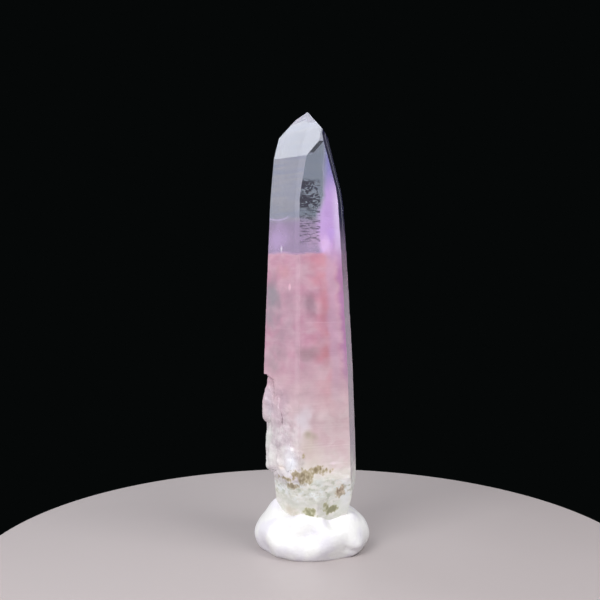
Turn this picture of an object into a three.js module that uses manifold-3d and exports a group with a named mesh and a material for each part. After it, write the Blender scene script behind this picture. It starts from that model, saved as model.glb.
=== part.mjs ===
// A slender amethyst crystal, tapered and tipped as it grew, pressed upright into a pad of white putty.
// Millimetres, +Z up. The origin is on the surface that the putty rests on, under the middle of the pad.
import * as THREE from "three";
import { mergeVertices } from "three/addons/utils/BufferGeometryUtils.js";
import Module from "manifold-3d";

const wasm = await Module();
wasm.setup();

// Where the crystal stands. An azimuth is in degrees from the front, -Y, and grows towards +X.
const AXIS_X = -0.6;
const AXIS_Y = 0;
const CRYSTAL_FOOT = 2.2;
const CRYSTAL_CLEAR = 80;
const REACH = 14;

// A tip face of quartz leans so that it runs in by this much for each millimetre of height.
const TIP_RUN = 0.787;

// The six sides, going round from the front left. Each outline is [height, distance from the axis].
// tip is the distance from the axis at which that side's tip face would meet height 0, and tipAzimuth
// is given where the tip face isn't square above its side. strides gives the shortest and longest
// stretch between two growth ledges of that side.
const SIDES = [
  {
    azimuth: -40,
    outline: [[0, 7.05], [16, 6.55], [36, 5.97], [52, 5.33], [53.6, 5.02], [58.6, 3.8]],
    tip: 49.92,
    strides: [2.2, 4.6],
  },
  {
    azimuth: 20,
    outline: [[0, 6.95], [16, 6.48], [36, 5.9], [52, 5.13], [58, 4.45], [60.8, 4.33]],
    tip: 52.2,
    strides: [1.3, 3.4],
  },
  {
    azimuth: 80,
    outline: [[0, 7.2], [16, 6.86], [28, 6.42], [44, 5.5], [52, 4.95], [54, 4.65], [62.2, 2.5]],
    tip: 51.87,
    tipAzimuth: 83,
    strides: [1.6, 3.8],
  },
  {
    azimuth: 140,
    outline: [[0, 6.75], [16, 6.3], [36, 5.85], [52, 5.3], [60.5, 5.1]],
    tip: 55,
    strides: [1.4, 3.6],
  },
  {
    azimuth: -160,
    outline: [[0, 6.85], [16, 6.38], [36, 5.82], [44, 5.5], [52, 5.1], [61, 4.7]],
    tip: 55.2,
    strides: [0.7, 1.9],
  },
  {
    azimuth: -100,
    outline: [[0, 6.5], [16, 6.12], [28, 5.95], [44, 5.4], [52, 5.1], [62.3, 4.8]],
    tip: 53.8,
    strides: [1.8, 4.2],
  },
];

// Above this height a side leans in one flat sweep to its tip face, with no ledges.
const LEDGES_END = 52;

// How much of a side's slope its stretches between ledges take up: 0 is none, and 1 leaves no ledges.
const LEDGE_LEAN = 0.72;

// The foot is broken off short. Each break is a plane [azimuth, distance at its low end, distance at its
// high end], and leans out from the low height to the high one.
const BREAK_LOW = 5;
const BREAK_HIGH = 11.6;
const BREAKS = [
  [-92, 4.5, 4.95],
  [-88, 3.94, 6.44],
  [-58, 4.2, 5.9],
  [-14, 5.3, 7.1],
  [31, 5.6, 7.3],
  [84, 5.9, 7.6],
  [121, 5.4, 7.5],
  [158, 4.7, 6.8],
  [-163, 4.9, 6.6],
  [-128, 4.4, 6.3],
];

// A slab of the left corner is missing under the first notch, where later quartz grew.
const NOTCH_AZIMUTH = -72;
const NOTCH_DEPTH = 5.95;
const NOTCH_TOP = 26.8;
const NOTCH_LIP = 0.3;

// Later quartz on that corner, spilling on to the sides next to it: stout crystals that stand almost as the
// large one does and run into one another, etched blunt at both ends. Each is [x, y, low end, high end,
// half width, half depth, share of its length where it starts to narrow, turn, lean to the right].
const GROWTHS = [
  [-5.0, -1.9, 19.0, 26.2, 2.07, 1.9, 0.54, -2, 0],
  [-4.6, -2.3, 11.7, 20.0, 1.8, 1.9, 0.74, -17, 0],
  [-5.0, -1.8, 22.4, 27.4, 1.25, 1.3, 0.7, -6, 0],
  [-3.7, -3.85, 15.2, 25.4, 1.75, 1.65, 0.5, -19, -2],
  [-3.2, -4.4, 12.6, 19.7, 1.7, 1.6, 0.72, -3, 3],
  [-2.0, -5.5, 13.2, 21.8, 1.35, 1.3, 0.42, -16, 2],
  [-4.4, -3.2, 12.4, 17.6, 1.6, 1.5, 0.6, 2, -3],
  [-5.1, -0.1, 13.0, 20.8, 1.25, 1.3, 0.6, -20, 0],
  [-5.2, -0.5, 20.2, 27.3, 1.1, 1.1, 0.5, -1, 1],
  [-4.75, 1.2, 14.4, 24.6, 1.6, 1.5, 0.55, -3, -2],
  [-4.5, 2.6, 13.2, 18.8, 1.35, 1.25, 0.6, -18, 2],
  [-4.3, 3.4, 13.0, 15.8, 1.0, 1.0, 0.5, 0, 0],
];
// The outline of one: [share of its half width, share of its length], with the narrowing laid between.
const GROWTH_FOOT = [[0, 0], [0.6, 0.025], [1, 0.12]];
const GROWTH_HEAD = [[1, 0], [0.6, 0.66], [0, 1]];

// Slender points among them: [x, y, z, radius, length, azimuth, rise].
const POINTS = [
  [-2.6, -5.4, 15.7, 1.3, 3.4, -25, -68],
  [-5.1, 0.7, 20.4, 0.8, 2.6, -110, 62],
];
const POINT_TIP_SHARE = 0.35;

// The putty pad: its outline is [distance from its own middle, height], before lobes and dents.
const PAD_OUTLINE = [
  [0, -0.6],
  [6.9, -0.6],
  [7.9, 0.35],
  [8.6, 1.3],
  [8.78, 2.2],
  [8.5, 3.3],
  [7.8, 4.35],
  [6.9, 5.25],
  [6.1, 6.0],
  [5.2, 6.35],
  [0, 6.45],
];
const PAD_SIDES = 56;
const PAD_DEPTH_SHARE = 0.92;
// Swellings of the pad's edge: [waves round the pad, share of the radius, degrees].
const PAD_LOBES = [
  [2, 0.016, 25],
  [3, 0.022, 80],
  [5, 0.012, 10],
];
// Where its top was thumbed up against the crystal: [azimuth, half width in degrees, rise].
const PAD_PINCHES = [
  [-90, 24, 1.1],
  [-22, 32, 0.8],
  [96, 26, 0.3],
];
const PINCH_FROM = 4.4;
const PINCH_TO = 6.3;
const SOCKET_GAP = 0.3;

const radians = (degrees) => (degrees * Math.PI) / 180;

// The outward direction of an azimuth.
const outward = (azimuth) =>
  new THREE.Vector3(Math.sin(radians(azimuth)), -Math.cos(radians(azimuth)), 0);

// Repeatable numbers from 0 to 1.
function numbers(seed) {
  let state = seed;
  return () => {
    state = (state * 1664525 + 1013904223) % 4294967296;
    return state / 4294967296;
  };
}

// A closed geometry as a solid for joining and cutting.
function solid(geometry) {
  const bare = geometry.clone();
  bare.deleteAttribute("normal");
  bare.deleteAttribute("uv");
  const merged = mergeVertices(bare, 1e-4);
  return new wasm.Manifold(
    new wasm.Mesh({
      numProp: 3,
      vertProperties: new Float32Array(merged.attributes.position.array),
      triVerts: new Uint32Array(merged.index.array),
    }),
  );
}

// A solid back as a geometry.
function geometryOf(manifold) {
  const mesh = manifold.getMesh();
  const geometry = new THREE.BufferGeometry();
  geometry.setAttribute("position", new THREE.BufferAttribute(mesh.vertProperties, 3));
  geometry.setIndex(new THREE.BufferAttribute(mesh.triVerts, 1));
  const faceted = geometry.toNonIndexed();
  faceted.computeVertexNormals();
  return faceted;
}

// The distance from the axis that an outline gives at a height.
function distanceAt(outline, height) {
  const above = outline.findIndex(([z]) => z >= height);
  if (above <= 0) return outline[above < 0 ? outline.length - 1 : 0][1];
  const [z0, d0] = outline[above - 1];
  const [z1, d1] = outline[above];
  return d0 + ((d1 - d0) * (height - z0)) / (z1 - z0);
}

// A side's outline with its taper taken up by growth ledges: upright stretches between small sills that
// lean as the tip faces do.
function ledged(side, random) {
  const [shortest, longest] = side.strides;
  const points = [];
  let low = 0;
  while (low < LEDGES_END) {
    const high = Math.min(low + shortest + (longest - shortest) * random(), LEDGES_END);
    const middle = distanceAt(side.outline, (low + high) / 2);
    const [start, end] = [low, high].map((z) => middle + LEDGE_LEAN * (distanceAt(side.outline, z) - middle));
    const sill = points.length ? Math.max(0, points.at(-1)[1] - start) / TIP_RUN : 0;
    points.push([low + sill, start], [high, end]);
    low = high;
  }
  return points.concat(side.outline.filter(([z]) => z > LEDGES_END));
}

// An outline of [distance from the axis, height] at an azimuth, drawn out to a breadth on both sides.
function slab(outline, azimuth, breadth) {
  const shape = new THREE.Shape(outline.map(([distance, z]) => new THREE.Vector2(distance, z)));
  const block = new THREE.ExtrudeGeometry(shape, { depth: breadth, bevelEnabled: false });
  block.translate(0, 0, -breadth / 2);
  const out = outward(azimuth);
  const up = new THREE.Vector3(0, 0, 1);
  return solid(block.applyMatrix4(new THREE.Matrix4().makeBasis(out, up, out.clone().cross(up))));
}

// Everything behind one side, from the crystal's foot up past its tip.
function behindWall(side, index) {
  const wall = ledged(side, numbers(index + 11)).filter(([z]) => z > CRYSTAL_FOOT);
  const outline = [
    [-REACH, CRYSTAL_FOOT],
    [distanceAt(side.outline, CRYSTAL_FOOT), CRYSTAL_FOOT],
    ...wall.map(([z, distance]) => [distance, z]),
    [wall.at(-1)[1], CRYSTAL_CLEAR],
    [-REACH, CRYSTAL_CLEAR],
  ];
  return slab(outline, side.azimuth, 2 * REACH);
}

// Everything under one side's tip face.
function underTip(side) {
  const outline = [
    [-REACH, 0],
    [REACH, 0],
    [REACH, (side.tip - REACH) / TIP_RUN],
    [-REACH, (side.tip + REACH) / TIP_RUN],
  ];
  return slab(outline, side.tipAzimuth ?? side.azimuth, 3 * REACH);
}

// A block whose near face leans out from the first distance to the second, and which lies outside it.
function outsideLean(azimuth, low, lowDistance, high, highDistance) {
  const block = new THREE.BoxGeometry(REACH, 2 * REACH, 3 * REACH);
  block.translate(REACH / 2, 0, 0);
  const lean = Math.atan2(highDistance - lowDistance, high - low);
  const turn = new THREE.Matrix4().makeRotationY(lean);
  const place = new THREE.Matrix4().makeTranslation(lowDistance, 0, low);
  const round = new THREE.Matrix4().makeRotationZ(radians(azimuth - 90));
  return solid(block.applyMatrix4(turn).applyMatrix4(place).applyMatrix4(round));
}

// The slab missing from the left corner, with a lip that slopes up and out over it.
function notch() {
  const outline = [
    [NOTCH_DEPTH, 0],
    [REACH, 0],
    [REACH, NOTCH_TOP + NOTCH_LIP],
    [NOTCH_DEPTH, NOTCH_TOP - NOTCH_LIP],
  ];
  return slab(outline, NOTCH_AZIMUTH, REACH);
}

// One stout crystal of the later quartz.
function growth([x, y, low, high, width, depth, narrows, turn, lean]) {
  const length = high - low;
  const head = GROWTH_HEAD.map(([share, up]) => [share, narrows + (1 - narrows) * up]);
  const corners = [...GROWTH_FOOT, ...head].map(([share, up]) => new THREE.Vector2(share, up * length));
  const shape = new THREE.LatheGeometry(corners, 6);
  shape.rotateX(Math.PI / 2);
  shape.scale(width, depth, 1).rotateZ(radians(turn)).rotateY(radians(lean));
  return solid(shape.translate(x, y, low));
}

// One small six-sided crystal with a pointed tip, growing out at an azimuth and a rise.
function point([x, y, z, radius, length, azimuth, rise]) {
  const shoulder = length * (1 - POINT_TIP_SHARE);
  const profile = [[0, -length / 2], [radius, -length / 2], [radius * 0.92, shoulder], [0, length]];
  const corners = profile.map(([r, h]) => new THREE.Vector2(r, h));
  const shape = new THREE.LatheGeometry(corners, 6);
  shape.rotateX(Math.PI / 2);
  const flat = outward(azimuth).multiplyScalar(Math.cos(radians(rise)));
  const along = flat.setZ(Math.sin(radians(rise)));
  const turn = new THREE.Quaternion().setFromUnitVectors(new THREE.Vector3(0, 0, 1), along);
  return solid(shape.applyQuaternion(turn).translate(x, y, z));
}

// The broken foot alone, grown outwards by a margin, for the crystal or for the socket that holds it.
function brokenFoot(body, margin) {
  let foot = body;
  for (const [azimuth, low, high] of BREAKS) {
    foot = foot.subtract(outsideLean(azimuth, BREAK_LOW, low + margin, BREAK_HIGH, high + margin));
  }
  return foot;
}

// The whole crystal about its own axis.
function crystal() {
  let body = solid(new THREE.BoxGeometry(2 * REACH, 2 * REACH, 2 * CRYSTAL_CLEAR));
  SIDES.forEach((side, index) => {
    body = body.intersect(behindWall(side, index)).intersect(underTip(side));
  });
  body = brokenFoot(body.subtract(notch()), 0);
  for (const place of GROWTHS) body = body.add(growth(place));
  for (const place of POINTS) body = body.add(point(place));
  return body;
}

// How far the pad is pinched up at an azimuth, in millimetres.
function pinch(azimuth) {
  return PAD_PINCHES.reduce((sum, [middle, width, rise]) => {
    const away = ((azimuth - middle + 540) % 360) - 180;
    return sum + rise * Math.exp(-((away / width) ** 2));
  }, 0);
}

// The pad before anything is cut from it, with its middle over the origin.
function padBlank() {
  const corners = PAD_OUTLINE.map(([r, z]) => new THREE.Vector2(r, z));
  const blank = new THREE.LatheGeometry(corners, PAD_SIDES);
  blank.rotateX(Math.PI / 2);
  const spots = blank.attributes.position;
  for (let i = 0; i < spots.count; i += 1) {
    const [x, y, z] = [spots.getX(i), spots.getY(i), spots.getZ(i)];
    const azimuth = (Math.atan2(x, -y) * 180) / Math.PI;
    const lobes = PAD_LOBES.reduce(
      (sum, [waves, share, phase]) => sum + share * Math.sin(radians(waves * azimuth + phase)),
      1,
    );
    const raised = z + pinch(azimuth) * THREE.MathUtils.smoothstep(z, PINCH_FROM, PINCH_TO);
    spots.setXYZ(i, x * lobes, y * lobes * PAD_DEPTH_SHARE, raised);
  }
  blank.computeBoundingBox();
  const middle = blank.boundingBox.getCenter(new THREE.Vector3());
  return solid(blank.translate(-middle.x, -middle.y, 0));
}

// The pad, cut flat underneath, with a socket that fits the crystal's foot.
function pad() {
  const above = solid(new THREE.BoxGeometry(4 * REACH, 4 * REACH, REACH).translate(0, 0, REACH / 2));
  const plug = new THREE.CylinderGeometry(REACH / 1.6, REACH / 1.6, REACH, 40);
  plug.rotateX(Math.PI / 2);
  plug.translate(0, 0, CRYSTAL_FOOT - SOCKET_GAP + REACH / 2);
  const socket = brokenFoot(solid(plug), SOCKET_GAP).translate(AXIS_X, AXIS_Y, 0);
  return padBlank().intersect(above).subtract(socket);
}

// A named mesh with its own finish.
function piece(name, manifold, finish) {
  const mesh = new THREE.Mesh(geometryOf(manifold), new THREE.MeshStandardMaterial(finish));
  mesh.name = name;
  return mesh;
}

const amethyst = piece("amethyst_crystal", crystal(), {
  color: 0xc9a6c4,
  roughness: 0.08,
  metalness: 0,
  transparent: true,
  opacity: 0.6,
});
amethyst.position.set(AXIS_X, AXIS_Y, 0);

const putty = piece("putty_pad", pad(), { color: 0xf4f3f2, roughness: 0.55, metalness: 0 });

const specimen = new THREE.Group();
specimen.add(amethyst, putty);

export default specimen;
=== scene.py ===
"""Dresses a slender amethyst crystal that stands in a pad of white putty.

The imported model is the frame. The crystal is a finer copy of its own solid with bevelled edges and an etched
foot, and the pad is modelled anew in the place of its solid. Scene lengths are in metres, and names that end
in _mm are in millimetres, as are all positions inside the materials.
"""
import logging
import math
from dataclasses import dataclass
from enum import Enum
from typing import Callable

import bmesh
import bpy
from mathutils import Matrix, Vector


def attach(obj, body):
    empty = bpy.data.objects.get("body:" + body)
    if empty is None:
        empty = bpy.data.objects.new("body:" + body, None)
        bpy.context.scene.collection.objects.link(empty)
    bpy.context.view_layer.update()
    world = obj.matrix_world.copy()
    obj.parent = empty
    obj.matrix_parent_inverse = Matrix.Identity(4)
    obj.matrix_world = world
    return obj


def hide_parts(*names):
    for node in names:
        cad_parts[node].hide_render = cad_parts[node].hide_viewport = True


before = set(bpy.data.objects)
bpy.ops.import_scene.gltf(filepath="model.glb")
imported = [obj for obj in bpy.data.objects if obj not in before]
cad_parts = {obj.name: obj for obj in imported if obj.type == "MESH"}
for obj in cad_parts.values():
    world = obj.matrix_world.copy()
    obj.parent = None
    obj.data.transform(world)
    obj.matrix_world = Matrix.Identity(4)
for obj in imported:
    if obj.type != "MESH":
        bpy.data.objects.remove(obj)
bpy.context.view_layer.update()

LOG = logging.getLogger("specimen")
MM = 0.001
BODY = "root"
GROWTH = "growth"

Colour = tuple[float, float, float]
Triple = tuple[float, float, float]
Cloud = tuple[Triple, Triple, Colour, float]


def srgb(red: float, green: float, blue: float) -> Colour:
    """Turns a colour of 0 to 255 as seen on a screen into the linear one that Blender works in.

    Args:
        red: Red, from 0 to 255.
        green: Green, from 0 to 255.
        blue: Blue, from 0 to 255.

    Returns:
        The three linear parts, from 0 to 1.
    """
    parts = (channel / 255 for channel in (red, green, blue))
    return tuple(c / 12.92 if c <= 0.04045 else ((c + 0.055) / 1.055) ** 2.4 for c in parts)


@dataclass(frozen=True)
class Value:
    """A number worked out by a material's nodes, for use in Python expressions.

    Attributes:
        graph: The graph that the number belongs to.
        socket: The output socket that gives it.
    """

    graph: "Graph"
    socket: bpy.types.NodeSocket

    def __add__(self, other: "Value | float") -> "Value":
        """Adds."""
        return self.graph.maths("ADD", self, other)

    def __radd__(self, other: float) -> "Value":
        """Adds to a plain number."""
        return self.graph.maths("ADD", other, self)

    def __sub__(self, other: "Value | float") -> "Value":
        """Subtracts."""
        return self.graph.maths("SUBTRACT", self, other)

    def __rsub__(self, other: float) -> "Value":
        """Subtracts from a plain number."""
        return self.graph.maths("SUBTRACT", other, self)

    def __mul__(self, other: "Value | float") -> "Value":
        """Multiplies."""
        return self.graph.maths("MULTIPLY", self, other)

    def __rmul__(self, other: float) -> "Value":
        """Multiplies a plain number."""
        return self.graph.maths("MULTIPLY", other, self)


class Graph:
    """The nodes of one material, and its position in millimetres on the piece."""

    def __init__(self, name: str) -> None:
        """Starts an empty material.

        Args:
            name: The material's name.
        """
        self.material = bpy.data.materials.new(name)
        self.material.use_nodes = True
        self.tree = self.material.node_tree
        self.tree.nodes.clear()
        self.output = self.tree.nodes.new("ShaderNodeOutputMaterial")
        place = self.node("ShaderNodeTexCoord").outputs["Object"]
        scaled = self.node("ShaderNodeVectorMath", {"operation": "SCALE"}, {"Vector": place, "Scale": 1 / MM})
        self.position = scaled.outputs["Vector"]
        parts = self.node("ShaderNodeSeparateXYZ", {}, {"Vector": self.position})
        self.x, self.y, self.z = (Value(self, parts.outputs[axis]) for axis in "XYZ")
        self.made: dict[str, Value] = {}

    def once(self, name: str, make: Callable[[], Value]) -> Value:
        """Makes a part of the graph the first time it is asked for, and gives the same one after that.

        Args:
            name: The part's name.
            make: What makes it.

        Returns:
            The part.
        """
        if name not in self.made:
            self.made[name] = make()
        return self.made[name]

    def node(self, kind: str, settings: dict | None = None, inputs: dict | None = None) -> bpy.types.Node:
        """Adds any node.

        Args:
            kind: The node's type name.
            settings: Its own settings, such as an operation. They are set first.
            inputs: Values or links for its sockets, by name or number.

        Returns:
            The new node.
        """
        made = self.tree.nodes.new(kind)
        for key, setting in (settings or {}).items():
            setattr(made, key, setting)
        for key, given in (inputs or {}).items():
            self.feed(made.inputs[key], given)
        return made

    def feed(self, socket: bpy.types.NodeSocket, given: object) -> None:
        """Gives a socket a plain value or a link.

        Args:
            socket: The input socket.
            given: A Value, an output socket, a number, or the parts of a colour or vector.
        """
        source = given.socket if isinstance(given, Value) else given
        if isinstance(source, bpy.types.NodeSocket):
            self.tree.links.new(source, socket)
        elif socket.type == "RGBA":
            socket.default_value = (*source, 1.0)
        else:
            socket.default_value = source

    def maths(self, operation: str, *terms: Value | float) -> Value:
        """Adds a Math node.

        Args:
            operation: The node's operation.
            terms: What it works on.

        Returns:
            Its result.
        """
        made = self.node("ShaderNodeMath", {"operation": operation}, dict(enumerate(terms)))
        return Value(self, made.outputs[0])

    def rise(self, value: Value, low: float, high: float) -> Value:
        """Goes smoothly from 0 to 1 while a value goes from low to high, or from 1 to 0 if low is the larger.

        Args:
            value: The value that is read.
            low: Where the result is 0.
            high: Where the result is 1.

        Returns:
            The mask.
        """
        settings = {"interpolation_type": "SMOOTHSTEP", "clamp": True}
        start, end, first, last = (low, high, 0.0, 1.0) if low < high else (high, low, 1.0, 0.0)
        made = self.node("ShaderNodeMapRange", settings, {0: value, 1: start, 2: end, 3: first, 4: last})
        return Value(self, made.outputs[0])

    def fade(self, value: Value, start: Value, end: Value) -> Value:
        """Goes smoothly from 0 to 1 between two limits that vary over the surface.

        Args:
            value: The value that is read.
            start: Where the result is 0.
            end: Where the result is 1.

        Returns:
            The mask.
        """
        settings = {"interpolation_type": "SMOOTHSTEP", "clamp": True}
        return Value(self, self.node("ShaderNodeMapRange", settings, {0: value, 1: start, 2: end}).outputs[0])

    def band(self, value: Value, middle: float, half_width: float, soft: float) -> Value:
        """Gives 1 near a middle value and 0 away from it.

        Args:
            value: The value that is read.
            middle: The middle of the band.
            half_width: How far from the middle it falls to one half.
            soft: How far it takes to fall.

        Returns:
            The mask.
        """
        away = self.maths("ABSOLUTE", value - middle)
        return self.rise(away, half_width + soft / 2, half_width - soft / 2)

    def mix(self, factor: Value | float, first: object, second: object) -> bpy.types.NodeSocket:
        """Mixes two colours.

        Args:
            factor: 0 for the first and 1 for the second.
            first: A colour or a colour socket.
            second: A colour or a colour socket.

        Returns:
            The mixed colour's socket.
        """
        made = self.node("ShaderNodeMix", {"data_type": "RGBA", "clamp_factor": True})
        for key, given in ((0, factor), (6, first), (7, second)):
            self.feed(made.inputs[key], given)
        return made.outputs[2]

    def noise(self, size_mm: float, stretch: Triple = (1.0, 1.0, 1.0), detail: float = 3.0,
              twist: float = 0.0, seed: float = 0.0) -> Value:
        """Gives a noise with grains of about one size.

        Args:
            size_mm: The size of its grains.
            stretch: How many times longer they are along each axis.
            detail: How many finer layers it has.
            twist: How much it is distorted.
            seed: Any number, which picks another stretch of the same noise.

        Returns:
            The noise, mostly from 0.3 to 0.7.
        """
        scale = tuple(1.0 / (size_mm * part) for part in stretch)
        place = self.node(
            "ShaderNodeMapping",
            {},
            {"Vector": self.position, "Location": (seed, seed * 0.7, -seed), "Scale": scale},
        )
        made = self.node(
            "ShaderNodeTexNoise",
            {"noise_dimensions": "3D"},
            {"Vector": place.outputs[0], "Scale": 1.0, "Detail": detail, "Distortion": twist},
        )
        return Value(self, made.outputs["Fac"])

    def attribute(self, name: str) -> Value:
        """Reads a number that is stored on the piece's faces.

        Args:
            name: The attribute's name.

        Returns:
            The number.
        """
        return Value(self, self.node("ShaderNodeAttribute", {"attribute_name": name}).outputs["Fac"])

    def bump(self, height: Value, depth_mm: float, before: object = None) -> bpy.types.NodeSocket:
        """Adds relief.

        Args:
            height: The height, from 0 to 1.
            depth_mm: How deep 1 is.
            before: The normal of a coarser relief that this one is laid on.

        Returns:
            The normal's socket.
        """
        inputs = {"Height": height, "Distance": depth_mm * MM, "Strength": 1.0}
        if before is not None:
            inputs["Normal"] = before
        return self.node("ShaderNodeBump", {}, inputs).outputs["Normal"]

    def finish(self, surface: bpy.types.NodeSocket, volume: bpy.types.NodeSocket | None = None) -> None:
        """Links the shaders to the material's output.

        Args:
            surface: The surface shader.
            volume: The volume shader, if it has one.
        """
        self.tree.links.new(surface, self.output.inputs["Surface"])
        if volume is not None:
            self.tree.links.new(volume, self.output.inputs["Volume"])


class Side(Enum):
    """The crystal's six sides, named by where they face and valued by azimuth from the front, in degrees."""

    FRONT_LEFT = -40.0
    FRONT_RIGHT = 20.0
    RIGHT = 80.0
    BACK_RIGHT = 140.0
    BACK_LEFT = -160.0
    LEFT = -100.0

    def outward(self) -> Vector:
        """Gives the side's outward direction."""
        turn = math.radians(self.value)
        return Vector((math.sin(turn), -math.cos(turn), 0.0))

    def attribute(self) -> str:
        """Gives the name of the face attribute that is 1 on this side and 0 elsewhere."""
        return self.name.lower()


@dataclass(frozen=True)
class AmethystFinish:
    """Clear to milky amethyst: grey and lilac at the tip, rose below a sharp line, frosted and muddy below.

    Attributes:
        ior: The refractive index of quartz.
        inside: The colour of light that has gone far through it.
        density: How strongly it takes off the other colours, for each metre.
        axis_mm: Where the crystal's axis stands.
        zone_line_mm: The height at which the lilac ends and the rose begins.
        foot_mm: The height at which the foot's break begins.
        growth_top_mm: The height at which the frosted growth ends.
        tip_reach_mm: Where the large tip face's plane would meet the foot's level, out from the axis.
        tip_run: How far that plane leans in for each millimetre of height.
        stains: The mud stains: the middle and the half sizes of each, in millimetres.
        patches: Clouds in the rose, of which the first is a painted reflection and the second a painted
            highlight: middle, half sizes, colour and strength of each.
        frosts_and_highlights: The same for the pale and dark spots low down; four of the white ones are partly
            painted highlights.
        veils_and_highlight: The same for the clear part above, one of them a white dash that is a painted
            highlight.
    """

    ior: float = 1.544
    inside: Colour = (0.86, 0.74, 0.95)
    density: float = 14.0
    axis_mm: tuple[float, float] = (-0.6, 0.0)
    zone_line_mm: float = 44.4
    foot_mm: float = 12.5
    growth_top_mm: float = 26.5
    tip_reach_mm: float = 49.92
    tip_run: float = 0.787
    stains: tuple[tuple[Triple, Triple], ...] = (
        ((-1.2, -6.9, 15.3), (0.4, 2.0, 0.5)),
        ((-1.0, -6.9, 12.4), (2.2, 2.6, 1.6)),
        ((1.2, -6.6, 12.9), (2.2, 2.6, 0.9)),
        ((-3.6, -5.8, 11.7), (2.4, 2.6, 0.5)),
        ((-2.8, -5.8, 10.9), (1.0, 2.6, 0.7)),
        ((4.1, -5.1, 9.5), (1.3, 2.6, 1.1)),
        ((-0.3, -5.8, 6.7), (1.6, 2.6, 0.8)),
        ((1.9, -5.4, 7.4), (0.9, 2.6, 1.1)),
        ((2.8, -5.0, 6.9), (1.4, 2.6, 0.8)),
    )
    patches: tuple[Cloud, ...] = (
        # Painted reflection: a soft grey patch low on the left.
        ((-5.8, -2.5, 37.2), (1.9, 4.0, 4.6), (152, 154, 162), 0.85),
        # Painted highlight: a small salmon spot on the front left side.
        ((-3.9, -4.0, 41.6), (1.7, 3.0, 1.8), (218, 164, 172), 0.7),
        ((-3.6, -4.5, 36.4), (1.9, 3.0, 3.6), (186, 158, 174), 0.6),
        ((-0.4, -6.0, 37.2), (1.4, 3.0, 2.4), (166, 134, 150), 0.85),
        ((-0.6, -6.0, 29.8), (1.8, 3.0, 1.3), (170, 140, 148), 0.75),
        ((-4.2, -4.5, 29.6), (1.2, 3.0, 1.2), (178, 150, 162), 0.5),
        ((-5.6, -3.0, 28.6), (1.4, 3.0, 2.4), (172, 160, 166), 0.6),
        ((-3.8, -4.5, 33.0), (2.6, 3.0, 2.2), (182, 158, 172), 0.5),
        ((2.0, -6.0, 30.0), (0.8, 3.0, 2.8), (214, 140, 150), 0.8),
        ((1.6, -6.0, 36.0), (0.9, 3.0, 4.6), (206, 134, 150), 0.6),
    )
    frosts_and_highlights: tuple[Cloud, ...] = (
        ((-4.4, -4.4, 22.4), (2.4, 3.0, 3.8), (180, 152, 168), 0.7),
        ((-6.6, -2.0, 22.6), (1.2, 4.0, 3.6), (190, 178, 192), 0.7),
        ((-1.3, -6.6, 19.8), (1.5, 3.0, 2.9), (234, 224, 232), 0.95),
        ((-2.2, -6.0, 17.4), (0.9, 3.0, 2.6), (234, 226, 228), 0.7),
        ((-0.6, -6.8, 18.3), (0.9, 2.4, 0.9), (164, 150, 132), 0.9),
        ((0.2, -6.8, 17.9), (0.9, 2.4, 0.8), (168, 154, 138), 0.8),
        ((-0.4, -6.8, 16.0), (2.1, 2.6, 3.2), (208, 194, 184), 0.75),
        # Pale frost with a painted highlight: the bright white wedge of the small point.
        ((-3.1, -5.6, 14.4), (1.2, 3.0, 2.2), (240, 244, 252), 1.0),
        ((-4.5, -5.0, 13.3), (0.6, 3.0, 0.5), (255, 238, 228), 0.9),
        # Painted highlights: the next two, small white spots on the growth.
        ((-3.7, -5.4, 19.0), (0.7, 3.0, 0.7), (240, 226, 234), 0.8),
        ((-2.8, -5.6, 16.1), (0.4, 3.0, 0.5), (250, 240, 242), 0.9),
        ((-6.4, -2.4, 16.4), (1.7, 4.0, 4.0), (224, 228, 222), 0.9),
        ((-4.4, -4.4, 14.4), (1.6, 3.0, 2.6), (222, 216, 214), 0.7),
        ((-4.8, -4.6, 16.6), (0.3, 3.0, 0.8), (168, 160, 164), 0.7),
        ((0.8, -6.6, 14.4), (2.4, 3.0, 2.2), (216, 204, 198), 0.6),
        ((4.9, -5.0, 11.0), (0.9, 3.0, 1.0), (244, 240, 240), 0.8),
        ((-3.6, -5.2, 6.6), (1.8, 3.0, 1.2), (204, 190, 170), 0.6),
        ((-2.4, -5.6, 8.2), (2.6, 3.0, 0.9), (200, 202, 196), 0.6),
        ((-4.6, -4.8, 9.8), (1.5, 3.0, 0.9), (240, 246, 250), 0.8),
        ((0.6, -6.0, 9.4), (2.2, 3.0, 1.2), (214, 216, 214), 0.5),
        # Pale frost with painted highlights: the bright white spot on the right of the foot.
        ((5.0, -4.8, 8.4), (1.0, 3.0, 2.6), (250, 252, 252), 0.9),
        ((3.6, -5.0, 7.0), (1.4, 3.0, 1.2), (236, 240, 232), 0.7),
        ((0.9, -6.2, 11.2), (1.2, 3.0, 0.9), (206, 212, 206), 0.7),
        ((3.0, -6.0, 13.9), (0.9, 3.0, 0.3), (240, 222, 230), 0.8),
    )
    veils_and_highlight: tuple[Cloud, ...] = (
        ((1.9, -5.3, 45.4), (1.0, 2.0, 1.5), (228, 200, 230), 0.45),
        ((3.0, -5.2, 47.4), (0.8, 2.0, 1.2), (150, 128, 196), 0.5),
        ((-4.5, -4.2, 45.0), (0.2, 2.0, 0.65), (250, 246, 252), 1.0),
        # Painted highlight: a white dash, with the salmon spot among the patches.
        ((-3.3, -5.0, 39.6), (0.24, 2.0, 0.6), (250, 236, 240), 1.0),
        ((-1.4, -5.5, 46.2), (0.35, 2.0, 0.9), (84, 74, 104), 0.9),
        ((-5.2, -3.8, 46.6), (1.9, 3.0, 2.4), (196, 168, 222), 0.5),
        ((0.2, -5.3, 46.2), (1.9, 2.0, 1.6), (196, 162, 186), 0.5),
    )

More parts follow.
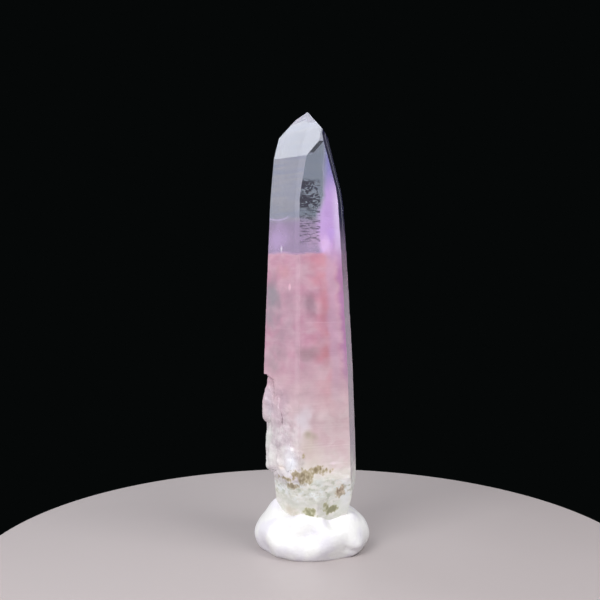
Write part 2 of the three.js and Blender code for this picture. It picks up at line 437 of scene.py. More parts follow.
    def across(self, graph: Graph, side: Side) -> Value:
        """Gives the distance from the crystal's axis towards one side, in millimetres.

        Args:
            graph: The material's graph.
            side: The side.

        Returns:
            The distance.
        """
        out = side.outward()
        return (graph.x - self.axis_mm[0]) * out.x + (graph.y - self.axis_mm[1]) * out.y

    def on(self, graph: Graph, side: Side) -> Value:
        """Gives 1 on one side's faces and 0 elsewhere.

        Args:
            graph: The material's graph.
            side: The side.

        Returns:
            The mask.
        """
        return graph.attribute(side.attribute())

    def growth(self, graph: Graph) -> Value:
        """Gives 1 on the frosted growth of the left corner and 0 elsewhere."""
        return graph.once("growth", lambda: self.grown_part(graph))

    def grown_part(self, graph: Graph) -> Value:
        """Works out where the growth is."""
        left = self.across(graph, Side.FRONT_LEFT) * 0.62 + self.across(graph, Side.LEFT) * 0.62
        wander = graph.noise(2.4, detail=2.0, seed=5.0)
        edge = left + (wander - 0.5) * 3.0 - (graph.z - 19.0) * 0.22
        low = graph.rise(graph.z + wander * 2.0, self.growth_top_mm + 2.0, self.growth_top_mm - 1.0)
        return graph.rise(edge, 4.2, 5.8) * low * graph.rise(graph.z, 10.0, 12.0)

    def etched(self, graph: Graph) -> Value:
        """Gives 1 on the growth and the broken foot, where the skin is rough."""
        foot = graph.rise(graph.z, self.foot_mm + 2.0, self.foot_mm - 1.5)
        return graph.maths("MAXIMUM", foot, self.growth(graph))

    def inwards(self, graph: Graph) -> Value:
        """Gives how far a point is behind the right side's wall, in millimetres."""
        z = graph.z
        wall = graph.maths("MINIMUM", 5.5 - (z - 44.0) * 0.063, 4.65 - (z - 54.0) * 0.262)
        return wall - self.across(graph, Side.RIGHT)

    def rose_part(self, graph: Graph) -> Value:
        """Gives 1 below the line where the rose begins, which blurs towards the right."""
        return graph.once("rose", lambda: self.below_line(graph))

    def below_line(self, graph: Graph) -> Value:
        """Works out what is below that line."""
        wavy = graph.z + (graph.noise(3.2, seed=1.0) - 0.5) * 1.2
        blur = graph.rise(self.inwards(graph), 2.6, 0.6) * 3.0 + 0.3
        return graph.fade(wavy, self.zone_line_mm + blur, self.zone_line_mm - blur)

    def apart(self, graph: Graph, centre: Triple, radii: Triple) -> Value:
        """Gives how far a point is from the middle of an egg shape, whose rim is at 1.

        Args:
            graph: The material's graph.
            centre: Its middle, in millimetres.
            radii: Its half sizes in millimetres.

        Returns:
            The distance.
        """
        away = graph.node("ShaderNodeVectorMath", {"operation": "SUBTRACT"}, {0: graph.position, 1: centre})
        share = graph.node("ShaderNodeVectorMath", {"operation": "DIVIDE"}, {0: away.outputs[0], 1: radii})
        length = graph.node("ShaderNodeVectorMath", {"operation": "LENGTH"}, {0: share.outputs[0]})
        return Value(graph, length.outputs["Value"])

    def cloud(self, graph: Graph, centre: Triple, radii: Triple) -> Value:
        """Gives 1 in the middle of a cloud that fades away.

        Args:
            graph: The material's graph.
            centre: Its middle, in millimetres.
            radii: Its half sizes in millimetres.

        Returns:
            The mask.
        """
        soft = graph.once("soft", lambda: graph.noise(1.9, (1.0, 1.0, 1.3), detail=2.0, seed=97.0))
        return graph.rise(self.apart(graph, centre, radii) + (soft * 1.6 - 0.8), 1.25, 0.0)

    def spot(self, graph: Graph, centre: Triple, radii: Triple) -> Value:
        """Gives 1 in a spot with a ragged rim.

        Args:
            graph: The material's graph.
            centre: Its middle, in millimetres.
            radii: Its half sizes in millimetres.

        Returns:
            The mask.
        """
        ragged = graph.once("ragged", lambda: graph.noise(1.2, detail=5.0, seed=91.0))
        return graph.rise(self.apart(graph, centre, radii) + (ragged * 2.2 - 1.1), 1.1, 0.1)

    def painted_dark_scribble(self, graph: Graph) -> Value:
        """Gives 1 on the dark crooked marks in the front right side: growth marks, with painted shade where
        the dark room shows through them by refraction.
        """
        inside = graph.band(graph.x, -0.35, 1.5, 0.15) * self.on(graph, Side.FRONT_RIGHT)
        curls = graph.noise(1.25, (1.3, 1.0, 0.62), detail=1.0, twist=1.8, seed=41.0)
        dashes = graph.noise(0.6, (2.6, 1.0, 0.42), detail=2.0, twist=0.5, seed=47.0)
        high = graph.rise(graph.z, 50.6, 51.2) * graph.rise(graph.z, 55.4, 54.6)
        low = graph.rise(graph.z, 45.4, 46.4) * graph.rise(graph.z, 51.4, 50.6)
        thick = 0.13 - graph.rise(graph.x, -1.6, 0.8) * 0.075
        away = graph.maths("ABSOLUTE", curls - 0.5)
        bends = graph.fade(away, thick + 0.03, thick - 0.03) * high
        return (bends + graph.rise(dashes, 0.46, 0.60) * low * 0.75) * inside

    def violet(self, graph: Graph) -> Value:
        """Gives 1 in the violet wedge along the front right side's right edge, which widens down: the stone's
        violet, painted brighter as light that is reflected inside the crystal.
        """
        return graph.once("violet", lambda: self.violet_light_wedge(graph))

    def violet_light_wedge(self, graph: Graph) -> Value:
        """Works out where the violet wedge of painted light is."""
        heights_and_widths = {0: graph.z, 1: 60.0, 2: 50.0, 3: 0.0, 4: 2.8}
        wedge = graph.node("ShaderNodeMapRange", {"clamp": True}, heights_and_widths)
        soft = (graph.noise(1.8, (1.0, 1.0, 2.5), seed=61.0) - 0.5) * 1.2
        outer = self.inwards(graph) + soft - Value(graph, wedge.outputs[0])
        return graph.rise(outer, 0.5, -0.5) * self.on(graph, Side.FRONT_RIGHT)

    def rim(self, graph: Graph) -> Value:
        """Gives 1 on the dark upper part of the right side, painted shade: the dark room, which the crystal
        shows there by reflection inside it.
        """
        return self.on(graph, Side.RIGHT) * graph.rise(graph.z, 43.0, 50.0)

    def rim_line(self, graph: Graph) -> Value:
        """Gives 1 on the thin pale line down the dark right side."""
        side = Side.RIGHT.outward()
        back = (graph.x - self.axis_mm[0]) * -side.y + (graph.y - self.axis_mm[1]) * side.x
        return graph.band(back, 0.9, 0.5, 0.4) * self.rim(graph)

    def under_tip(self, graph: Graph) -> Value:
        """Gives 1 in the painted shade line on the front right side, just under the large tip face, where
        refraction shows dark.
        """
        under = (self.tip_reach_mm - self.across(graph, Side.FRONT_LEFT) - graph.z * self.tip_run) * 0.786
        high = graph.rise(graph.z, 58.6, 59.2)
        return graph.rise(under, 0.62, 0.44) * high * self.on(graph, Side.FRONT_RIGHT)

    def arc(self, graph: Graph) -> Value:
        """Gives 1 on the thin pale arc in the front left side."""
        bend = (graph.x + 5.0) * (graph.x + 5.0) * 0.16
        line = graph.band(graph.z - bend, 49.3, 0.14, 0.3) * graph.rise(graph.x, -3.0, -3.8)
        return line * self.on(graph, Side.FRONT_LEFT)

    def tint(self, graph: Graph) -> bpy.types.NodeSocket:
        """Gives the colour of the clear part of the surface."""
        z = graph.z
        rows = graph.noise(0.7, (12.0, 12.0, 1.0), detail=2.0, seed=71.0)
        left = graph.mix(graph.rise(rows, 0.42, 0.6), (0.84, 0.89, 1.0), (1.0, 1.0, 1.0))
        grey = graph.mix(self.on(graph, Side.FRONT_RIGHT), left, (0.18, 0.26, 0.29))
        upper = graph.mix(graph.rise(z, 50.0, 48.6) * 0.8, grey, (0.92, 0.76, 0.98))
        # The violet wedge: the stone's violet, painted brighter as light reflected inside the crystal.
        violet_with_painted_light = graph.mix(graph.rise(z, 52.0, 57.5), (0.86, 0.68, 1.0), (0.62, 0.56, 0.9))
        upper = graph.mix(self.violet(graph), upper, violet_with_painted_light)
        # Painted shade: the dark upper right side, for the dark room reflected inside the crystal.
        upper = graph.mix(self.rim(graph) * 0.95, upper, (0.02, 0.02, 0.07))
        upper = graph.mix(self.rim_line(graph), upper, srgb(170, 170, 190))
        # Painted shade: the dark line under the large tip face.
        upper = graph.mix(self.under_tip(graph) * 0.8, upper, (0.05, 0.05, 0.07))
        return graph.mix(self.rose_part(graph), upper, (0.94, 0.72, 0.80))

    def rose(self, graph: Graph) -> bpy.types.NodeSocket:
        """Gives the milky rose below the line: upright columns towards the right, blurred by soft clouds."""
        cloud = graph.noise(3.4, (1.3, 1.3, 1.0), detail=2.0, seed=1.0)
        blur = graph.noise(2.0, (1.3, 1.3, 0.9), detail=3.0, twist=0.4, seed=2.0)
        inwards = self.inwards(graph) + (blur - 0.5) * 1.4
        rose = graph.mix(graph.rise(blur, 0.30, 0.70), srgb(214, 158, 182), srgb(226, 186, 202))
        salmon = graph.band(inwards, 3.1, 1.2, 2.2) * graph.rise(cloud, 0.28, 0.60)
        rose = graph.mix(salmon * 0.75, rose, srgb(222, 144, 158))
        rose = graph.mix(graph.band(inwards, 1.7, 0.6, 0.8) * 0.7, rose, srgb(216, 178, 204))
        edge = graph.rise(inwards, 1.2, 0.2) * graph.rise(graph.z, 22.0, 28.0)
        rose = graph.mix(edge, rose, srgb(192, 138, 186))
        seam = self.across(graph, Side.FRONT_RIGHT) - self.across(graph, Side.FRONT_LEFT)
        rose = graph.mix(graph.band(seam, -0.35, 0.4, 0.4) * 0.35, rose, srgb(232, 200, 214))
        for centre, radii, shade, strength in self.patches:
            rose = graph.mix(self.cloud(graph, centre, radii) * strength, rose, srgb(*shade))
        return rose

    def milk(self, graph: Graph) -> bpy.types.NodeSocket:
        """Gives the colour of what is milky, from the tip down."""
        z = graph.z
        cloud = graph.noise(3.4, (1.3, 1.3, 1.0), detail=2.0, seed=1.0)
        grain = graph.noise(1.8, (1.4, 1.4, 1.0), detail=3.0, twist=0.5, seed=2.0)
        upper = graph.mix(graph.rise(z, 50.0, 48.6), srgb(200, 204, 228), srgb(224, 190, 242))
        upper = graph.mix(self.arc(graph) * 0.8, upper, srgb(216, 196, 240))
        # The violet wedge and its paler stripe at the edge: the stone's violet, painted brighter as light
        # reflected inside the crystal.
        violet_with_painted_light = graph.mix(graph.rise(z, 52.0, 57.5), srgb(214, 174, 238), srgb(140, 134, 196))
        upper = graph.mix(self.violet(graph), upper, violet_with_painted_light)
        stripe = self.violet(graph) * graph.rise(self.inwards(graph), 1.2, 0.2)
        upper = graph.mix(stripe * graph.rise(z, 56.0, 51.0) * 0.8, upper, srgb(236, 214, 252))
        for centre, radii, shade, strength in self.veils_and_highlight:
            upper = graph.mix(self.cloud(graph, centre, radii) * strength, upper, srgb(*shade))
        # Painted shade: the dark upper right side, for the dark room reflected inside the crystal.
        upper = graph.mix(self.rim(graph), upper, srgb(26, 20, 84))
        upper = graph.mix(self.rim_line(graph), upper, srgb(160, 160, 178))
        # Painted shade: the dark line under the large tip face.
        upper = graph.mix(self.under_tip(graph), upper, srgb(60, 62, 70))
        pale = graph.mix(graph.rise(grain, 0.40, 0.62), srgb(236, 212, 216), srgb(230, 200, 206))
        body = graph.mix(graph.rise(z + (cloud - 0.5) * 8.0, 31.0, 20.0), self.rose(graph), pale)
        # The right side below the dark part is a darker mauve: painted shade that carries the dark reflection
        # down.
        right_painted_shade = graph.mix(graph.rise(grain, 0.36, 0.62), srgb(170, 138, 172), srgb(204, 172, 194))
        body = graph.mix(self.on(graph, Side.RIGHT) * 0.75, body, right_painted_shade)
        return self.low(graph, graph.mix(self.rose_part(graph), upper, body))

    def mud(self, graph: Graph) -> Value:
        """Gives how thick the brown mud is that has stayed on the foot, from 0 to 1."""
        return graph.once("mud", lambda: self.muddy_part(graph))

    def muddy_part(self, graph: Graph) -> Value:
        """Works out where the mud is."""
        fine = graph.noise(0.42, (1.0, 1.0, 1.6), detail=5.0, seed=11.0)
        wander = graph.noise(1.5, (1.3, 1.3, 0.8), detail=3.0, seed=14.0)
        most = graph.rise(graph.z, 15.0, 7.0) * graph.rise(graph.y, 0.0, 4.0) * 0.4
        for centre, radii in self.stains:
            most = graph.maths("MAXIMUM", most, self.spot(graph, centre, radii))
        return (most * 0.7 + (fine - 0.5) * 1.9 + (wander - 0.5) * 1.1) * graph.rise(most, 0.0, 0.2)

    def low(self, graph: Graph, body: bpy.types.NodeSocket) -> bpy.types.NodeSocket:
        """Lays the white foot, the frosted growth and the mud over the body's colour.

        Args:
            graph: The material's graph.
            body: The body's colour.

        Returns:
            The whole colour.
        """
        grain = graph.noise(1.0, (1.2, 1.2, 0.8), detail=3.0, seed=8.0)
        white = graph.mix(graph.rise(grain, 0.36, 0.66), srgb(230, 232, 220), srgb(250, 248, 243))
        fade = graph.z + (graph.noise(2.6, detail=2.0, seed=3.0) - 0.5) * 8.0
        lower = graph.mix(graph.rise(fade, 18.0, 9.5), body, white)
        frost = graph.mix(graph.rise(grain, 0.4, 0.6), srgb(216, 204, 212), srgb(238, 232, 236))
        frosted = graph.mix(self.growth(graph) * graph.rise(graph.z, 26.0, 17.0) * 0.85, lower, frost)
        for centre, radii, shade, strength in self.frosts_and_highlights:
            frosted = graph.mix(self.cloud(graph, centre, radii) * strength, frosted, srgb(*shade))
        speck = graph.noise(0.62, (1.3, 1.3, 0.9), detail=3.0, seed=17.0)
        strewn = graph.band(graph.z + (grain - 0.5) * 3.0, 10.0, 1.3, 1.6)
        frosted = graph.mix(graph.rise(speck, 0.52, 0.66) * strewn * 0.6, frosted, srgb(174, 182, 158))
        frosted = graph.mix(graph.rise(speck, 0.48, 0.36) * strewn * 0.8, frosted, srgb(246, 252, 252))
        olive = graph.rise(graph.z, 9.6, 7.6)
        right = graph.rise(graph.x, 2.6, 3.2)
        thin = graph.mix(right, srgb(178, 163, 128), srgb(204, 184, 158))
        thin = graph.mix(olive, thin, srgb(186, 184, 144))
        thick = graph.mix(right, srgb(120, 102, 54), srgb(136, 108, 80))
        thick = graph.mix(olive, thick, srgb(132, 130, 82))
        mud = self.mud(graph)
        shade = graph.mix(graph.rise(mud, 0.36, 0.90), thin, thick)
        return graph.mix(graph.rise(mud, 0.0, 0.50) * 0.85, frosted, shade)

    def milkiness(self, graph: Graph) -> Value:
        """Gives how much of the surface is milky and not clear."""
        cloud = graph.noise(2.6, (1.2, 1.2, 1.0), detail=3.0, seed=21.0)
        body = 0.16 + self.rose_part(graph) * (0.54 + (cloud - 0.5) * 0.4)
        for centre, radii, _, strength in self.frosts_and_highlights:
            body = body + self.cloud(graph, centre, radii) * (strength * 0.2)
        low = graph.rise(graph.z + (cloud - 0.5) * 8.0, 20.0, 11.0) * 0.2
        upper = self.violet(graph) * (1.0 - self.rose_part(graph)) * 0.5
        # The mud, and the painted shade of the dark right side and of the line under the tip face, are
        # milkier.
        marks = graph.rise(self.mud(graph), 0.0, 0.50) * 0.3 + self.rim(graph) * 0.5
        marks = marks + self.arc(graph) * 0.25 + self.under_tip(graph) * 0.5
        for centre, radii, _, strength in self.veils_and_highlight:
            upper = upper + self.cloud(graph, centre, radii) * (strength * 0.6)
        apex = graph.rise(graph.z, 62.6, 63.6) * 0.08
        return body + low + upper + marks + apex

    def relief(self, graph: Graph) -> bpy.types.NodeSocket:
        """Gives fine growth lines across the sides, and the etched skin of the growth and the foot."""
        lines = graph.noise(0.32, (22.0, 22.0, 1.0), detail=3.0, seed=31.0)
        normal = graph.bump(lines * graph.rise(graph.z, 57.0, 50.0), 0.02)
        hollows = graph.noise(2.0, (1.0, 1.0, 1.3), detail=2.0, seed=55.0) * self.growth(graph)
        pitted = graph.noise(0.8, (1.3, 1.3, 0.8), detail=4.0, seed=51.0) * self.etched(graph)
        return graph.bump(pitted, 0.09, graph.bump(hollows, 0.42, normal))

    def material(self) -> bpy.types.Material:
        """Makes the material."""
        graph = Graph("amethyst")
        normal = self.relief(graph)
        etched = self.etched(graph)
        # Painted shade: the dark crooked marks stand for the dark room seen through the growth marks.
        marks = self.painted_dark_scribble(graph)
        clear = graph.node(
            "ShaderNodeBsdfPrincipled",
            {},
            {
                "Base Color": graph.mix(marks, self.tint(graph), (0.03, 0.03, 0.05)),
                "Roughness": 0.01 + etched * 0.3,
                "IOR": self.ior,
                "Transmission Weight": 1.0,
                "Normal": normal,
            },
        )
        milky = graph.node(
            "ShaderNodeBsdfPrincipled",
            {},
            {
                "Base Color": graph.mix(marks, self.milk(graph), (0.04, 0.04, 0.06)),
                "Roughness": 0.16 + etched * 0.3,
                "IOR": self.ior,
                "Normal": normal,
            },
        )
        both = graph.node(
            "ShaderNodeMixShader",
            {},
            {0: self.milkiness(graph), 1: clear.outputs[0], 2: milky.outputs[0]},
        )
        inside = graph.node("ShaderNodeVolumeAbsorption", {}, {"Color": self.inside, "Density": self.density})
        graph.finish(both.outputs[0], inside.outputs[0])
        return graph.material


@dataclass(frozen=True)
class PuttyFinish:
    """Soft white mounting putty.

    Attributes:
        white: Its colour.
        grey: Its colour in soft patches that fall at random.
        roughness: How dull it is.
    """

    white: Colour = srgb(236, 236, 235)
    grey: Colour = srgb(226, 224, 231)
    roughness: float = 0.48

    def material(self) -> bpy.types.Material:
        """Makes the material."""
        graph = Graph("putty")
        patches = graph.noise(3.0, detail=2.0, seed=2.0)
        fine = graph.noise(0.35, detail=4.0, seed=6.0)
        soft = graph.noise(1.6, detail=2.0, seed=9.0)
        normal = graph.bump(fine, 0.03, graph.bump(soft, 0.12))
        body = graph.node(
            "ShaderNodeBsdfPrincipled",
            {},
            {
                "Base Color": graph.mix(graph.rise(patches, 0.4, 0.65), self.white, self.grey),
                "Roughness": self.roughness + (fine - 0.5) * 0.2,
                "Normal": normal,
            },
        )
        graph.finish(body.outputs[0])
        return graph.material


@dataclass(frozen=True)
class FloorFinish:
    """A plain pale floor with a soft shine.

    Attributes:
        pale: Its colour.
        roughness: How dull it is.
    """

    pale: Colour = srgb(176, 168, 168)
    roughness: float = 0.42

    def material(self) -> bpy.types.Material:
        """Makes the material."""
        graph = Graph("floor")
        patches = graph.noise(14.0, detail=2.0)
        body = graph.node(
            "ShaderNodeBsdfPrincipled",
            {},
            {"Base Color": self.pale, "Roughness": self.roughness + (patches - 0.5) * 0.1},
        )
        graph.finish(body.outputs[0])
        return graph.material


def settle(piece: bpy.types.Object) -> None:
    """Deselects all and makes one object the active and selected one.

    Args:
        piece: The object.
    """
    if bpy.context.mode != "OBJECT":
        bpy.ops.object.mode_set(mode="OBJECT")
    bpy.ops.object.select_all(action="DESELECT")
    piece.select_set(True)
    bpy.context.view_layer.objects.active = piece


def place_in_mesh(piece: bpy.types.Object) -> None:
    """Moves a piece's place, turn and size into its mesh.

    Args:
        piece: The object.
    """
    settle(piece)
    bpy.ops.object.transform_apply(location=True, rotation=True, scale=True)


def dress(piece: bpy.types.Object, material: bpy.types.Material) -> None:
    """Gives a piece one material.

    Args:
        piece: The object.
        material: The material.
    """
    piece.data.materials.clear()
    piece.data.materials.append(material)


@dataclass
class Crystal:
    """The amethyst, made from its own solid.

    Attributes:
        node: The name of its solid.
        merge_mm: How close two corners are to be one.
        flat_degrees: The largest angle between two faces that are one facet.
        bevel_mm: The width of the worn edges.
        sharp_degrees: The least angle between two faces whose edge stays crisp.
        side_degrees: How far a face of a side may lean from that side's direction.
        sill_lean: The least and the most that the sills of the ledges face upwards.
        sill_top_mm: Above this height no ledge is left.
        sill_height_mm: The most that a sill rises from its lowest to its highest corner.
        wall_degrees: How far a face may lean from a side's direction and still be part of that side.
        growth_heights_mm: The lowest and the highest place of the later growth.
        growth_way: The direction of the corner that it is on.
        growth_from_mm: How far out that way it begins.
        mesh_mm: How long its edges may be once it is divided.
        melt_rounds: How often it is smoothed.
        point_mm: Where its small point is.
        point_reach_mm: How far that reaches.
        point_share: How far it stands out after it is pressed flatter, as a share.
        etch_mm: How deep it is etched.
        etch_size_mm: How wide the hollows are.
        finish: Its finish.
    """

    node: str = "amethyst_crystal"
    merge_mm: float = 0.002
    flat_degrees: float = 0.4
    bevel_mm: float = 0.05
    sharp_degrees: float = 28.0
    side_degrees: float = 26.0
    sill_lean: tuple[float, float] = (0.5, 0.72)
    sill_top_mm: float = 52.5
    sill_height_mm: float = 0.5
    wall_degrees: float = 2.5
    growth_heights_mm: tuple[float, float] = (10.6, 28.5)
    growth_way: tuple[float, float] = (-0.951, -0.309)
    growth_from_mm: float = 2.7
    mesh_mm: float = 0.42
    melt_rounds: int = 6
    point_mm: Triple = (-2.5, -6.0, 15.0)
    point_reach_mm: float = 2.8
    point_share: float = 0.5
    etch_mm: float = 0.3
    etch_size_mm: float = 1.1
    finish: AmethystFinish = AmethystFinish()

    def sill(self, face: bmesh.types.BMFace) -> bool:
        """Tells whether a face is one of the narrow sills between two growth ledges.

        Args:
            face: The face.

        Returns:
            True if it is one.
        """
        least, most = self.sill_lean
        heights = [corner.co.z for corner in face.verts]
        narrow = max(heights) - min(heights) < self.sill_height_mm * MM or len(face.verts) > 6
        low = face.calc_center_median().z < self.sill_top_mm * MM
        return low and narrow and least < face.normal.z < most

    def wall(self, face: bmesh.types.BMFace) -> bool:
        """Tells whether a face belongs to one of the six sides.

        Args:
            face: The face.

        Returns:
            True if it does.
        """
        least = math.cos(math.radians(self.wall_degrees))
        return any(face.normal.dot(side.outward()) > least for side in Side)

    def grown(self, face: bmesh.types.BMFace) -> bool:
        """Tells whether a face belongs to the later growth on the left corner.

        Args:
            face: The face.

        Returns:
            True if it does.
        """
        low, high = (height * MM for height in self.growth_heights_mm)
        middle = face.calc_center_median()
        corner = middle.x * self.growth_way[0] + middle.y * self.growth_way[1] > self.growth_from_mm * MM
        return corner and low < middle.z < high and not self.sill(face) and not self.wall(face)

    def crisp(self, edge: bmesh.types.BMEdge, growth: bmesh.types.BMLayerItem) -> bool:
        """Tells whether an edge is a worn edge between two large facets.

        Args:
            edge: The edge.
            growth: The layer that marks the faces of the later growth.

        Returns:
            True if it is one.
        """
        if edge.calc_face_angle(0.0) < math.radians(self.sharp_degrees):
            return False
        along = (edge.verts[1].co - edge.verts[0].co).normalized()
        ledge = abs(along.z) < 0.3 and any(self.sill(face) for face in edge.link_faces)
        return not ledge and not any(face[growth] for face in edge.link_faces)

    def divide(self, piece: bpy.types.Object) -> None:
        """Cuts the later growth into small triangles.

        Args:
            piece: The crystal, in edit mode.
        """
        shape = bmesh.from_edit_mesh(piece.data)
        growth = shape.faces.layers.int.new(GROWTH)
        for face in shape.faces:
            face.select = self.grown(face)
            face[growth] = int(face.select)
        bmesh.update_edit_mesh(piece.data)
        bpy.ops.mesh.quads_convert_to_tris(quad_method="BEAUTY", ngon_method="BEAUTY")
        for _ in range(6):
            shape = bmesh.from_edit_mesh(piece.data)
            growth = shape.faces.layers.int[GROWTH]
            long_edges = [
                edge
                for edge in shape.edges
                if edge.calc_length() > self.mesh_mm * MM and any(face[growth] for face in edge.link_faces)
            ]
            if not long_edges:
                break
            bmesh.ops.subdivide_edges(shape, edges=long_edges, cuts=1, use_grid_fill=True)
            grown = [face for face in shape.faces if face[growth]]
            bmesh.ops.triangulate(shape, faces=grown, quad_method="BEAUTY", ngon_method="BEAUTY")
            bmesh.update_edit_mesh(piece.data)
        LOG.info("the growth has %d faces", sum(face[growth] for face in shape.faces))

    def flatten_point(self, piece: bpy.types.Object) -> None:
        """Presses the small point in the growth flatter against its side.

        Args:
            piece: The crystal, in edit mode with the inner corners of the growth selected.
        """
        out = Side.FRONT_LEFT.outward()
        middle = Vector(self.point_mm) * MM
        shape = bmesh.from_edit_mesh(piece.data)
        near = [corner for corner in shape.verts if (corner.co - middle).length < self.point_reach_mm * MM]
        wall = [corner.co.dot(out) for corner in near if not corner.select]
        level = sum(wall) / len(wall)
        for corner in shape.verts:
            corner.select = corner.select and (corner.co - middle).length < self.point_reach_mm * MM
        shape.select_flush_mode()
        highest = max(corner.co.dot(out) for corner in near) - level
        bmesh.update_edit_mesh(piece.data)
        bpy.ops.transform.resize(
            value=(1.0, 1.0, self.point_share),
            orient_type="NORMAL",
            orient_matrix=out.to_track_quat("Z", "Y").to_matrix(),
            orient_matrix_type="NORMAL",
            center_override=middle + out * (level - middle.dot(out)),
        )
        shape = bmesh.from_edit_mesh(piece.data)
        now = max(corner.co.dot(out) for corner in shape.verts if corner.select) - level
        LOG.info("the point stands out %.2f mm and not %.2f mm", now / MM, highest / MM)

    def melt(self, piece: bpy.types.Object) -> None:
        """Smooths the later growth and etches it, so that its crystals run into one another.

        Args:
            piece: The crystal.
        """
        settle(piece)
        bpy.ops.object.mode_set(mode="EDIT")
        bpy.ops.mesh.select_mode(type="FACE")
        bpy.ops.mesh.select_all(action="DESELECT")
        self.divide(piece)
        shape = bmesh.from_edit_mesh(piece.data)
        shape.verts.index_update()
        growth = shape.faces.layers.int[GROWTH]
        rough = [corner.index for corner in shape.verts if all(face[growth] for face in corner.link_faces)]
        bpy.ops.mesh.select_mode(type="VERT")
        bpy.ops.mesh.select_all(action="DESELECT")
        shape = bmesh.from_edit_mesh(piece.data)
        shape.verts.ensure_lookup_table()
        for index in rough:
            shape.verts[index].select = True
        shape.select_flush_mode()
        bmesh.update_edit_mesh(piece.data)
        bpy.ops.mesh.vertices_smooth(factor=0.5, repeat=self.melt_rounds)
        self.flatten_point(piece)
        bpy.ops.object.mode_set(mode="OBJECT")
        group = piece.vertex_groups.new(name="growth")
        group.add(rough, 1.0, "REPLACE")
        clouds = bpy.data.textures.new("etching", "CLOUDS")
        clouds.noise_scale = self.etch_size_mm * MM
        clouds.noise_depth = 2
        etched = piece.modifiers.new("etching", "DISPLACE")
        etched.texture = clouds
        etched.texture_coords = "LOCAL"
        etched.vertex_group = group.name
        etched.strength = self.etch_mm * MM
        etched.mid_level = 0.6
        bpy.ops.object.modifier_apply(modifier=etched.name)
        piece.vertex_groups.clear()

    def wear(self, piece: bpy.types.Object) -> None:
        """Bevels the edges between the large facets.

        Args:
            piece: The crystal.
        """
        settle(piece)
        bpy.ops.object.mode_set(mode="EDIT")
        bpy.ops.mesh.select_mode(type="EDGE")
        bpy.ops.mesh.select_all(action="DESELECT")
        shape = bmesh.from_edit_mesh(piece.data)
        growth = shape.faces.layers.int[GROWTH]
        for edge in shape.edges:
            edge.select = self.crisp(edge, growth)
        bmesh.update_edit_mesh(piece.data)
        bpy.ops.mesh.bevel(offset=self.bevel_mm * MM, segments=2, affect="EDGES", clamp_overlap=True)
        bpy.ops.object.mode_set(mode="OBJECT")

    def build(self) -> bpy.types.Object:
        """Makes the crystal.

        Returns:
            The finished piece.
        """
        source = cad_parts[self.node]
        piece = source.copy()
        piece.data = source.data.copy()
        piece.name = piece.data.name = "crystal"
        bpy.context.scene.collection.objects.link(piece)
        settle(piece)
        bpy.ops.object.mode_set(mode="EDIT")
        bpy.ops.mesh.select_all(action="SELECT")
        bpy.ops.mesh.remove_doubles(threshold=self.merge_mm * MM)
        bpy.ops.mesh.dissolve_limited(angle_limit=math.radians(self.flat_degrees))
        bpy.ops.object.mode_set(mode="OBJECT")
        self.melt(piece)
        self.wear(piece)
        bpy.ops.object.shade_smooth()
        flat = piece.modifiers.new("flat faces", "WEIGHTED_NORMAL")
        flat.mode = "FACE_AREA"
        flat.weight = 100
        bpy.ops.object.modifier_apply(modifier=flat.name)
        self.mark_sides(piece)
        piece.data.attributes.remove(piece.data.attributes[GROWTH])
        piece.data.validate()
        dress(piece, self.finish.material())
        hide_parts(self.node)
        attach(piece, BODY)
        return piece

    def mark_sides(self, piece: bpy.types.Object) -> None:
        """Stores on every face which of the six sides it belongs to.

        Args:
            piece: The crystal.
        """
        limit = math.cos(math.radians(self.side_degrees))
        top = self.sill_top_mm * MM
        for side in Side:
            mark = piece.data.attributes.new(side.attribute(), "FLOAT", "FACE")
            for face in piece.data.polygons:
                level = Vector((face.normal.x, face.normal.y, 0.0))
                leans = face.normal.z > self.sill_lean[1] or (face.center.z > top and face.normal.z > 0.44)
                faces_out = level.length > 0.1 and level.normalized().dot(side.outward()) > limit
                mark.data[face.index].value = float(faces_out and not leans)


